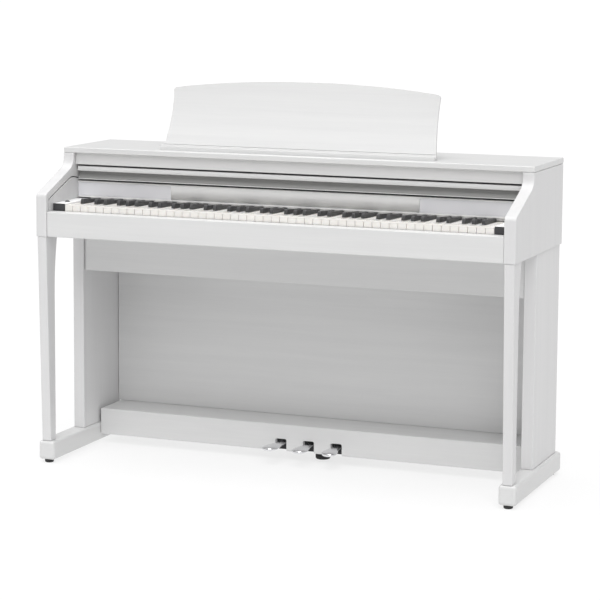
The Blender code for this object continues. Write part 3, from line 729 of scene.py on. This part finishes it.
def add_black_key(work, tail):
    """A sharp: a sloping rounded nose, a long back that falls away a little and a plain tail below."""
    low, high = tail
    foot = WHITE_TOP - 0.012
    rise = 0.0045
    stations = []
    for step in range(9):
        t = step / 8
        depth = BLACK_FRONT + rise * (1 - math.cos(t * math.pi / 2)) + 0.0004 * t
        top = WHITE_TOP + (BLACK_TOP - WHITE_TOP) * math.sin(t * math.pi / 2) ** 0.75
        stations.append((depth, max(top, WHITE_TOP - 0.001)))
    stations += [(BLACK_BACK, BLACK_REAR_TOP), (BLACK_BACK + 0.0005, WHITE_TOP), (KEY_REAR, WHITE_TOP)]
    rings = []
    for depth, top in stations:
        rings.append([work.verts.new(point) for point in black_section(depth, low, high, top, foot)])
    for near, far in zip(rings, rings[1:]):
        for index in range(len(near)):
            after = (index + 1) % len(near)
            work.faces.new((near[index], near[after], far[after], far[index]))
    work.faces.new(rings[0][::-1])
    work.faces.new(rings[-1])
    tip_up(work)


def build_notes(node, first, last):
    notes = [key_shape(note) for note in range(first, last + 1)]
    naturals = [(head, tail) for is_white, head, tail in notes if is_white]
    sharps = [tail for is_white, head, tail in notes if not is_white]
    stands_for = [node]
    if naturals:
        def build_naturals(work):
            for head, tail in naturals:
                add_white_key(work, head, tail)
        place(mesh_object(node + "_naturals", build_naturals, IVORY, 30.0), node, node, *stands_for)
        stands_for = []
    if sharps:
        def build_sharps(work):
            for tail in sharps:
                add_black_key(work, tail)
        sharps_mesh = mesh_object(node + "_sharps", build_sharps, EBONY, 40.0)
        place(sharps_mesh, node, "key_Cs4", *stands_for)


def build_keyboard():
    for node, first, last in KEY_GROUPS:
        build_notes(node, first, last)
    for note in range(48, 60):
        node = "key_" + NOTE_NAMES[note % 12] + "4"
        build_notes(node, note, note)
    across = (-KEYBOARD / 2, KEYBOARD / 2)
    strip = box("key_felt", across, (0.0615, 0.0735), (KEY_BOTTOM - 0.0120, KEY_BOTTOM - 0.0097), FELT_AND_PAINTED_SHADE)
    soften(strip, 0.0008, 3)
    place(strip, ROOT, "key_chassis")


# ---------------------------------------------------------------- speakers
MOUTH_RADIUS = 0.056


def build_speaker_box():
    node, wall = "speaker_box", 0.012
    x, depth, z = limits(node, "x"), depth_limits(node), limits(node, "z")
    piece = box("speaker_box_shell", x, depth, z, WOOD_X)
    soften(piece, 0.0014, 4)
    hollow = box("speaker_hollow", (x[0] + wall, x[1] - wall), (depth[0] + wall, depth[1] - wall),
                 (z[0] + wall, z[1] + 0.02), FELT_AND_PAINTED_SHADE)
    cut(piece, hollow)
    for label, side in SIDES:
        low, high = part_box(label + "_speaker")
        centre = ((low.x + high.x) / 2, (low.y + high.y) / 2, z[0] + wall / 2)
        drum = [(0, -0.02), (MOUTH_RADIUS, -0.02), (MOUTH_RADIUS, 0.02), (0, 0.02)]
        mouth = turned(label + "_mouth", drum, centre, FELT_AND_PAINTED_SHADE, 64)
        cut(piece, mouth)
    settle(piece)
    place(piece, ROOT, node, node)
    for label, side in SIDES:
        low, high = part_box(label + "_speaker")
        build_speaker(label, ((low.x + high.x) / 2, (low.y + high.y) / 2), z[0])


def build_speaker(label, middle, floor):
    """Driver seen through its round opening, behind a ring and a stretched cloth."""
    node = label + "_speaker"
    foot, top = limits(node, "z")
    cone = [(0.0, foot + 0.012), (0.014, foot + 0.010), (0.018, foot + 0.0065), (0.047, foot + 0.0025),
            (0.050, foot + 0.0008), (0.053, foot + 0.0020), (0.056, foot + 0.0006), (0.066, foot),
            (0.066, foot + 0.004), (0.045, foot + 0.030), (0.038, foot + 0.034), (0.038, top), (0.0, top)]
    driver = turned(node + "_driver", cone, (*middle, 0.0), CONE, 64)
    place(driver, ROOT, node, node)
    disc = [(0, floor + 0.0045), (0.0545, floor + 0.0045), (0.0545, floor + 0.0065), (0, floor + 0.0065)]
    cloth = turned(label + "_grille", disc, (*middle, 0.0), GRILLE, 64)
    place(cloth, ROOT, node)
    hoop = [(0.0525, floor + 0.0015), (0.0530, floor + 0.0004), (0.0550, floor + 0.0004),
            (0.0556, floor + 0.0015), (0.0556, floor + 0.0042), (0.0525, floor + 0.0042),
            (0.0525, floor + 0.0015)]
    ring = turned(label + "_grille_ring", hoop, (*middle, 0.0), CHARCOAL_AND_PAINTED_SHADE, 64)
    place(ring, ROOT, node)


# ---------------------------------------------------------------- stand
LEG_FRONT_FOOT = 0.0194
LEG_FRONT_HEAD = 0.0005
LEG_BACK = 0.0500
FLARE = 0.017
FLARE_START = 0.72          # share of the leg's height where its back begins to flare


def leg_outline(node):
    """Front leg from the side: its face leans back towards the foot, its back flares out under the cheek."""
    foot, head = limits(node, "z")
    height = head - foot
    back, steps = [], 40
    for step in range(steps + 1):
        t = step / steps
        flared = max(0.0, (t - FLARE_START) / (1 - FLARE_START)) ** 2
        back.append((LEG_BACK + FLARE * flared, foot + height * t))
    return [(LEG_FRONT_FOOT, foot), (LEG_FRONT_HEAD, head)] + back[::-1]


def build_stand():
    for label, side in SIDES:
        board(label + "_stand_board", WOOD_Z, 0.0016, 4)
        leg = label + "_front_leg"
        piece = side_profile(leg + "_shaped", leg_outline(leg), limits(leg, "x"), WOOD_Z)
        soften(piece, 0.0022, 4)
        place(piece, ROOT, leg, leg)
        runner = label + "_foot_runner"
        x, depth, z = limits(runner, "x"), depth_limits(runner), limits(runner, "z")
        foot = box(runner + "_shaped", x, depth, z, WOOD_Y)
        soften(foot, 0.0085, 8)
        place(foot, ROOT, runner, runner)
        for end in ("front", "rear"):
            build_glide(label + "_" + end + "_glide")


def build_glide(node):
    low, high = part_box(node)
    radius = (high.x - low.x) / 2
    top = high.z
    profile = [(0, 0.0), (radius - 0.0030, 0.0), (radius - 0.0012, 0.0008), (radius - 0.0002, 0.0026),
               (radius, 0.0045), (radius, top - 0.0006), (radius - 0.0006, top), (0, top)]
    piece = turned(node + "_pad", profile, ((low.x + high.x) / 2, (low.y + high.y) / 2, 0.0), RUBBER, 40)
    place(piece, ROOT, node, node)


# ---------------------------------------------------------------- pedals
NOTCH_WIDTH = 0.0335
NOTCH_TOP = 0.0625
PEDAL_PLACES = {"left": -1, "middle": 0, "right": 1}
PEDAL_CENTRE = 0.007
PEDAL_PITCH = 0.0825
TOE_FAN = 0.0065            # how far the outer pedals' toes lean outwards
TOE_LEAN = -0.001           # and how far all of them lean the same way
TOE_HALF = 0.0215
TOE_LENGTH = 0.022
SHANK_HALF = 0.0125


def notch_outline(x):
    """Front view of a pedal opening: (x, z) points with rounded top corners."""
    low, high, reach = x - NOTCH_WIDTH / 2, x + NOTCH_WIDTH / 2, 0.006
    foot = limits("pedal_box", "z")[0] - 0.01
    outline = [(low, foot)]
    outline += corner_arc((low, foot), (low, NOTCH_TOP), (high, NOTCH_TOP), reach, 8)
    outline += corner_arc((low, NOTCH_TOP), (high, NOTCH_TOP), (high, foot), reach, 8)
    return outline + [(high, foot)]


def build_pedal_box():
    node, wall = "pedal_box", 0.015
    x, depth, z = limits(node, "x"), depth_limits(node), limits(node, "z")
    piece = box("pedal_box_shell", x, depth, z, WOOD_X)
    soften(piece, 0.0040, 6)
    hollow = box("pedal_hollow", (x[0] + wall, x[1] - wall), (depth[0] + wall, depth[1] - wall),
                 (z[0] - 0.01, z[1] - wall), FELT_AND_PAINTED_SHADE)
    cut(piece, hollow)
    for label, number in PEDAL_PLACES.items():
        outline = notch_outline(PEDAL_CENTRE + number * PEDAL_PITCH)
        points = [Vector((across, at_depth(depth[0] - 0.02), up)) for across, up in outline]
        through = Vector((0, 0.045, 0))
        notch = mesh_object(label + "_notch", lambda work: add_prism(work, points, through), FELT_AND_PAINTED_SHADE)
        cut(piece, notch)
    settle(piece)
    place(piece, ROOT, node, node)
    backing = box("pedal_box_backing", (-0.14, 0.16), (depth[0] + wall + 0.045, depth[0] + wall + 0.047),
                  (z[0] + 0.002, z[1] - wall - 0.001), FELT_AND_PAINTED_SHADE)
    place(backing, ROOT, "key_chassis")
    lining = box("pedal_felt", (-0.115, 0.135), (depth[0] + 0.020, depth[0] + 0.026),
                 (z[0] + 0.0010, 0.0425), FELT_AND_PAINTED_SHADE)
    soften(lining, 0.0008, 2)
    place(lining, ROOT, "key_chassis")


def pedal_half_width(depth, node):
    """Half-width of a pedal at a depth: slim shank, swelling to a rounded toe."""
    tip = depth_limits(node)[0]
    along = depth - tip
    if along < TOE_LENGTH:
        return TOE_HALF * math.sqrt(max(0.0, 1 - ((TOE_LENGTH - along) / TOE_LENGTH) ** 2))
    share = min(1.0, (along - TOE_LENGTH) / 0.060)
    return TOE_HALF + (SHANK_HALF - TOE_HALF) * share * share * (3 - 2 * share)


def build_pedal(label):
    """A cast pedal: domed top and rounded edge, dipping slightly at the toe."""
    node = label + "_pedal"
    number = PEDAL_PLACES[label]
    centre = PEDAL_CENTRE + number * PEDAL_PITCH
    fan = number * TOE_FAN + TOE_LEAN
    tip, rear = depth_limits(node)
    foot, top = limits(node, "z")
    thickness = top - foot
    box_front = depth_limits("pedal_box")[0]
    nose, slices, around = tip + 0.0006, 40, 20

    def build(work):
        rings = []
        stations = [nose + (rear - nose) * (step / slices) ** 1.5 for step in range(slices + 1)]
        for depth in stations:
            half = max(0.0015, pedal_half_width(depth, node))
            dip = 0.0022 * max(0.0, 1 - (depth - tip) / 0.05) ** 2
            swing = fan * max(0.0, (box_front - depth) / (box_front - tip))
            ring = []
            for step in range(around):
                angle = math.tau * step / around
                x = math.copysign(abs(math.cos(angle)) ** 0.55, math.cos(angle)) * half
                up = math.copysign(abs(math.sin(angle)) ** 0.7, math.sin(angle))
                crown = 1 - 0.22 * (x / max(half, 1e-6)) ** 2
                edge = min(1.0, 0.35 + half / TOE_HALF)
                z = foot + thickness / 2 + up * thickness / 2 * crown * edge - dip
                ring.append(work.verts.new((centre + swing + x, at_depth(depth), max(foot, z))))
            rings.append(ring)
        for near, far in zip(rings, rings[1:]):
            for index in range(around):
                after = (index + 1) % around
                work.faces.new((near[index], near[after], far[after], far[index]))
        work.faces.new(rings[0][::-1])
        work.faces.new(rings[-1])

    piece = mesh_object(node + "_cast", build, SILVER, 60.0)
    place(piece, node, node, node)


def build_adjuster():
    node = "pedal_adjuster"
    low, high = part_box(node)
    foot = low.z
    profile = [(0, foot), (0.0180, foot), (0.0198, foot + 0.0010), (0.0208, foot + 0.0035), (0.0210, 0.0060),
               (0.0210, 0.0145), (0.0200, 0.0160), (0.0120, 0.0176), (0.0055, 0.0180), (0.0050, 0.0186)]
    threads, lead = 14, 0.0036
    for step in range(threads):
        z = 0.0195 + step * lead
        profile += [(0.0050, z), (0.0044, z + lead / 2)]
    profile += [(0.0044, high.z), (0, high.z)]
    piece = turned(node + "_foot", profile, ((low.x + high.x) / 2, (low.y + high.y) / 2, 0.0), RUBBER, 40)
    place(piece, node, node, node)


# ---------------------------------------------------------------- music rest
HINGE_DEPTH = 0.217
HINGE_HEIGHT = 0.8819
LEAN = math.radians(19.0)
REST_THICK = 0.007
REST_BOW = 0.005
REST_SIDE = 0.1631
REST_ROUND = 0.008      # radius of the upper corners
REST_CROWN = 0.0245
REST_HALF = 0.3950
REST_WAIST = 0.0085     # how far the sides draw in
LEDGE_REAR = 0.206      # depth where the ledge's shelf meets its rear ridge


def rest_point(along, out=0.0):
    depth = HINGE_DEPTH + along * math.sin(LEAN) - out * math.cos(LEAN)
    return depth, HINGE_HEIGHT + along * math.cos(LEAN) + out * math.sin(LEAN)


def rest_half_width(along):
    return REST_HALF - REST_WAIST * math.sin(math.pi * min(1.0, along / REST_SIDE) * 0.75)


def build_rest_panel():
    """A thin dished panel with drawn-in sides, rounded upper corners and an arched top edge."""
    node = "music_rest_panel"
    columns, rows = 72, 24

    def face_point(across, share, out):
        across, share = round_corner(across, share)
        crown = REST_CROWN * max(0.0, 1 - abs(across) ** 2.2)
        along = 0.002 + share * (REST_SIDE + crown)
        x = across * rest_half_width(along)
        dish = REST_BOW * 4 * share * (1 - share)
        depth, z = rest_point(along, out - dish)
        return x, at_depth(depth), z

    def round_corner(across, share):
        """Draws the points near an upper corner in onto a quarter disc."""
        wide, high = REST_ROUND / 0.39, REST_ROUND / REST_SIDE
        a, b = (abs(across) - 1 + wide) / wide, (share - 1 + high) / high
        if a <= 0 or b <= 0:
            return across, share
        a, b = a * math.sqrt(1 - b * b / 2), b * math.sqrt(1 - a * a / 2)
        return math.copysign(1 - wide + a * wide, across), 1 - high + b * high

    def spread(count, edge):
        """Even steps, with finer ones within an edge's width of both ends so the corners can be rounded."""
        fine = [edge * i / 7 for i in range(8)]
        inner = [i / count for i in range(count + 1) if edge * 1.2 < i / count < 1 - edge * 1.2]
        return fine + inner + [1 - step for step in reversed(fine)]

    def build(work):
        across_steps = [2 * share - 1 for share in spread(columns, REST_ROUND / 0.78)]
        up_steps = spread(rows, REST_ROUND / REST_SIDE)
        sheets = []
        for out in (0.0, -REST_THICK):
            sheet = []
            for share in up_steps:
                sheet.append([work.verts.new(face_point(across, share, out)) for across in across_steps])
            sheets.append(sheet)
        last_row, last_column = len(up_steps) - 1, len(across_steps) - 1
        for sheet in sheets:
            for row in range(last_row):
                for column in range(last_column):
                    work.faces.new((sheet[row][column], sheet[row][column + 1],
                                    sheet[row + 1][column + 1], sheet[row + 1][column]))
        loops = []
        for sheet in sheets:
            loop = sheet[0] + [sheet[row][last_column] for row in range(1, last_row + 1)]
            loop += sheet[last_row][-2::-1] + [sheet[row][0] for row in range(last_row - 1, 0, -1)]
            loops.append(loop)
        front, back = loops
        for index in range(len(front)):
            after = (index + 1) % len(front)
            work.faces.new((front[index], front[after], back[after], back[index]))

    piece = mesh_object(node + "_dished", build, WOOD_X, 35.0)
    soften(piece, 0.0016, 4, angle=50.0)
    place(piece, node, node, node)


def build_rest_ledge():
    node = "music_rest_ledge"
    front, back = depth_limits(node)
    foot, ridge = limits(node, "z")
    shelf, lip = foot + 0.0072, foot + 0.0107
    nose, heel = (front + 0.0045, lip), (front + 0.0058, shelf)
    crease, crest = (LEDGE_REAR, shelf), (LEDGE_REAR + 0.002, ridge)
    corners = [(front, foot), (front, lip), nose, heel, crease, crest, (back, ridge), (back, foot)]
    reaches = (0.0014, 0.0014, 0.0012, 0.0010, 0.0012, 0.0012)
    steps = (5, 5, 4, 4, 4, 4)
    outline = [corners[0]]
    for index, (reach, count) in enumerate(zip(reaches, steps), start=1):
        outline += corner_arc(corners[index - 1], corners[index], corners[index + 1], reach, count)
    outline.append(corners[-1])
    piece = side_profile(node + "_shelf", outline, limits(node, "x"), WOOD_X)
    place(piece, ROOT, node, node)


def build_rest_brace():
    """Folding stay: a bent steel wire frame."""
    node = "music_rest_brace"
    along, offset = 0.080, 0.0155       # its pivot, up the panel and behind its face
    length, half, bar = 0.105, 0.095, 0.0025
    pivot = rest_point(along, -offset)
    fall = pivot[1] - limits("top_board", "z")[1] - GAP
    drop = math.asin(fall / math.hypot(length, bar)) - math.atan2(bar, length)
    turn = Matrix.Translation((0, at_depth(pivot[0]), pivot[1])) @ Matrix.Rotation(-drop, 4, "X")

    def wire(name, corners, radius, finish, closed):
        curve = bpy.data.curves.new(name, "CURVE")
        curve.dimensions = "3D"
        curve.bevel_depth = radius
        curve.bevel_resolution = 5
        curve.use_fill_caps = True
        line = curve.splines.new("POLY")
        line.points.add(len(corners) - 1)
        for point, corner in zip(line.points, corners):
            point.co = (*(turn @ Vector(corner)), 1.0)
        line.use_cyclic_u = closed
        made = bpy.data.objects.new(name, curve)
        bpy.context.scene.collection.objects.link(made)
        view = bpy.context.evaluated_depsgraph_get()
        view.update()
        mesh = bpy.data.meshes.new_from_object(made.evaluated_get(view))
        bpy.data.objects.remove(made)
        solid = bpy.data.objects.new(name, mesh)
        bpy.context.scene.collection.objects.link(solid)
        mesh.materials.clear()
        mesh.materials.append(finish)
        mesh.shade_smooth()
        return solid

    reach, radius = half - bar, bar - 0.0002
    far_end = length - bar
    frame_corners = [(-reach, 0.0), (reach, 0.0), (reach, far_end), (-reach, far_end)]
    corners = rounded_outline(frame_corners, 0.010, 8)
    frame_wire = wire(node + "_wire", [(x, y, 0.0) for x, y in corners], radius, STEEL, True)
    place(frame_wire, node, node, node)


# ---------------------------------------------------------------- back
def build_back_details():
    node = "rear_connector_plate"
    plate = box(node + "_moulding", limits(node, "x"), depth_limits(node), limits(node, "z"), CHARCOAL_AND_PAINTED_SHADE)
    face = depth_limits(node)[1]
    inlet = box("inlet_well", (-0.452, -0.432), (face - 0.002, face + 0.01), (0.693, 0.714), FELT_AND_PAINTED_SHADE)
    soften(plate, 0.0010, 3)
    cut(plate, inlet)
    settle(plate)
    place(plate, ROOT, node, node)
    foot, top = limits("rear_cover", "z")
    rear = depth_limits("rear_cover")[1]
    inset = 0.012
    for x in (-0.6, -0.3, 0.0, 0.3, 0.6):
        for z in (foot + inset, top - inset):
            build_screw("rear_screw_%d_%d" % (round(x * 10), round(z * 1000)), x, rear, z)


def build_screw(name, x, depth, z):
    """A pan-head screw that faces backwards, with a cross recess."""
    profile = [(0, 0.0012), (0.0022, 0.0011), (0.0032, 0.0006), (0.0036, 0.0), (0.0, 0.0)]
    head = turned(name, profile, (x, at_depth(depth), z), STEEL, 24, axis=(0, 1, 0))
    place(head, ROOT, "rear_cover")


def finish_hidden_nodes():
    """Gives each CAD node that stays in view its procedural material."""
    finishes = {"key_bed": WOOD_X, "key_chassis": CHARCOAL_AND_PAINTED_SHADE, "main_circuit_board": BOARD_GREEN}
    for node, finish in finishes.items():
        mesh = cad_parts[node].data
        mesh.materials.clear()
        mesh.materials.append(finish)


# ---------------------------------------------------------------- studio
def build_studio():
    """White paper under and behind the piano, an even white sky, broad light from overhead and the front."""
    reach = (-80, 80)
    floor = mesh_object("studio_floor", lambda work: add_box(work, reach, reach, (-0.02, 0.0)),
                        floor_finish(), 30.0)
    world = bpy.context.scene.world or bpy.data.worlds.new("studio")
    bpy.context.scene.world = world
    world.use_nodes = True
    background = world.node_tree.nodes["Background"]
    background.inputs["Color"].default_value = (1.0, 1.0, 1.0, 1.0)
    background.inputs["Strength"].default_value = 0.42
    add_sun("overhead_sun", (-0.10, -0.12, 0.98), 2.20, 60.0)
    add_sun("front_sun", (0.30, -0.63, 0.71), 1.25, 40.0)
    bpy.context.scene.view_settings.view_transform = "Standard"


def add_sun(name, towards, energy, spread):
    """A far lamp in the direction of a vector; spread is the angle it fills in the sky, in degrees."""
    lamp = bpy.data.lights.new(name, "SUN")
    lamp.energy = energy
    lamp.angle = math.radians(spread)
    sun = bpy.data.objects.new(name, lamp)
    sun.rotation_euler = Vector(towards).to_track_quat("Z", "Y").to_euler()
    bpy.context.scene.collection.objects.link(sun)


def floor_finish():
    """Pale paper that glows a little, so the shadows on it stay faint."""
    made, tree, shader = new_material("studio_floor_paper", 0.9, specular=0.1)
    mottle = noise(tree, (3.0, 3.0, 3.0), detail=2.0)
    colour_surface(tree, shader, mottle, (0.20, 0.20, 0.20), (0.22, 0.22, 0.22))
    shader.inputs["Emission Color"].default_value = (1.0, 1.0, 1.0, 1.0)
    shader.inputs["Emission Strength"].default_value = 0.74
    return made


CAMERA_PLACE = (2.17564, -5.24318, 1.39814)     # X, depth and height
CAMERA_TURN = (21.6254, 7.0676, 0.3584)         # to the left, down and roll, in degrees
CAMERA_LENS = 130.943
CAMERA_SHIFT = -0.12


def build_camera():
    """A long lens to the player's right, shifted down a little so that uprights stay straighter."""
    yaw, pitch, roll = (math.radians(angle) for angle in CAMERA_TURN)
    forward = Vector((-math.sin(yaw) * math.cos(pitch), math.cos(yaw) * math.cos(pitch), -math.sin(pitch)))
    level = Vector((math.cos(yaw), math.sin(yaw), 0.0))
    upright = level.cross(forward)
    right = level * math.cos(roll) + upright * math.sin(roll)
    up = upright * math.cos(roll) - level * math.sin(roll)
    lens = bpy.data.cameras.new("view")
    lens.lens = CAMERA_LENS
    lens.sensor_width = 36.0
    lens.shift_y = CAMERA_SHIFT
    camera = bpy.data.objects.new("view", lens)
    turn = Matrix((right, up, -forward)).transposed().to_4x4()
    x, depth, z = CAMERA_PLACE
    camera.matrix_world = Matrix.Translation((x, at_depth(depth), z)) @ turn
    bpy.context.scene.collection.objects.link(camera)
    bpy.context.scene.camera = camera


build_cabinet()
build_key_slip()
build_controls()
build_key_cover()
build_keyboard()
build_speaker_box()
build_stand()
build_pedal_box()
for pedal_label in PEDAL_PLACES:
    build_pedal(pedal_label)
build_adjuster()
build_rest_panel()
build_rest_ledge()
build_rest_brace()
build_back_details()
finish_hidden_nodes()
build_studio()
build_camera()
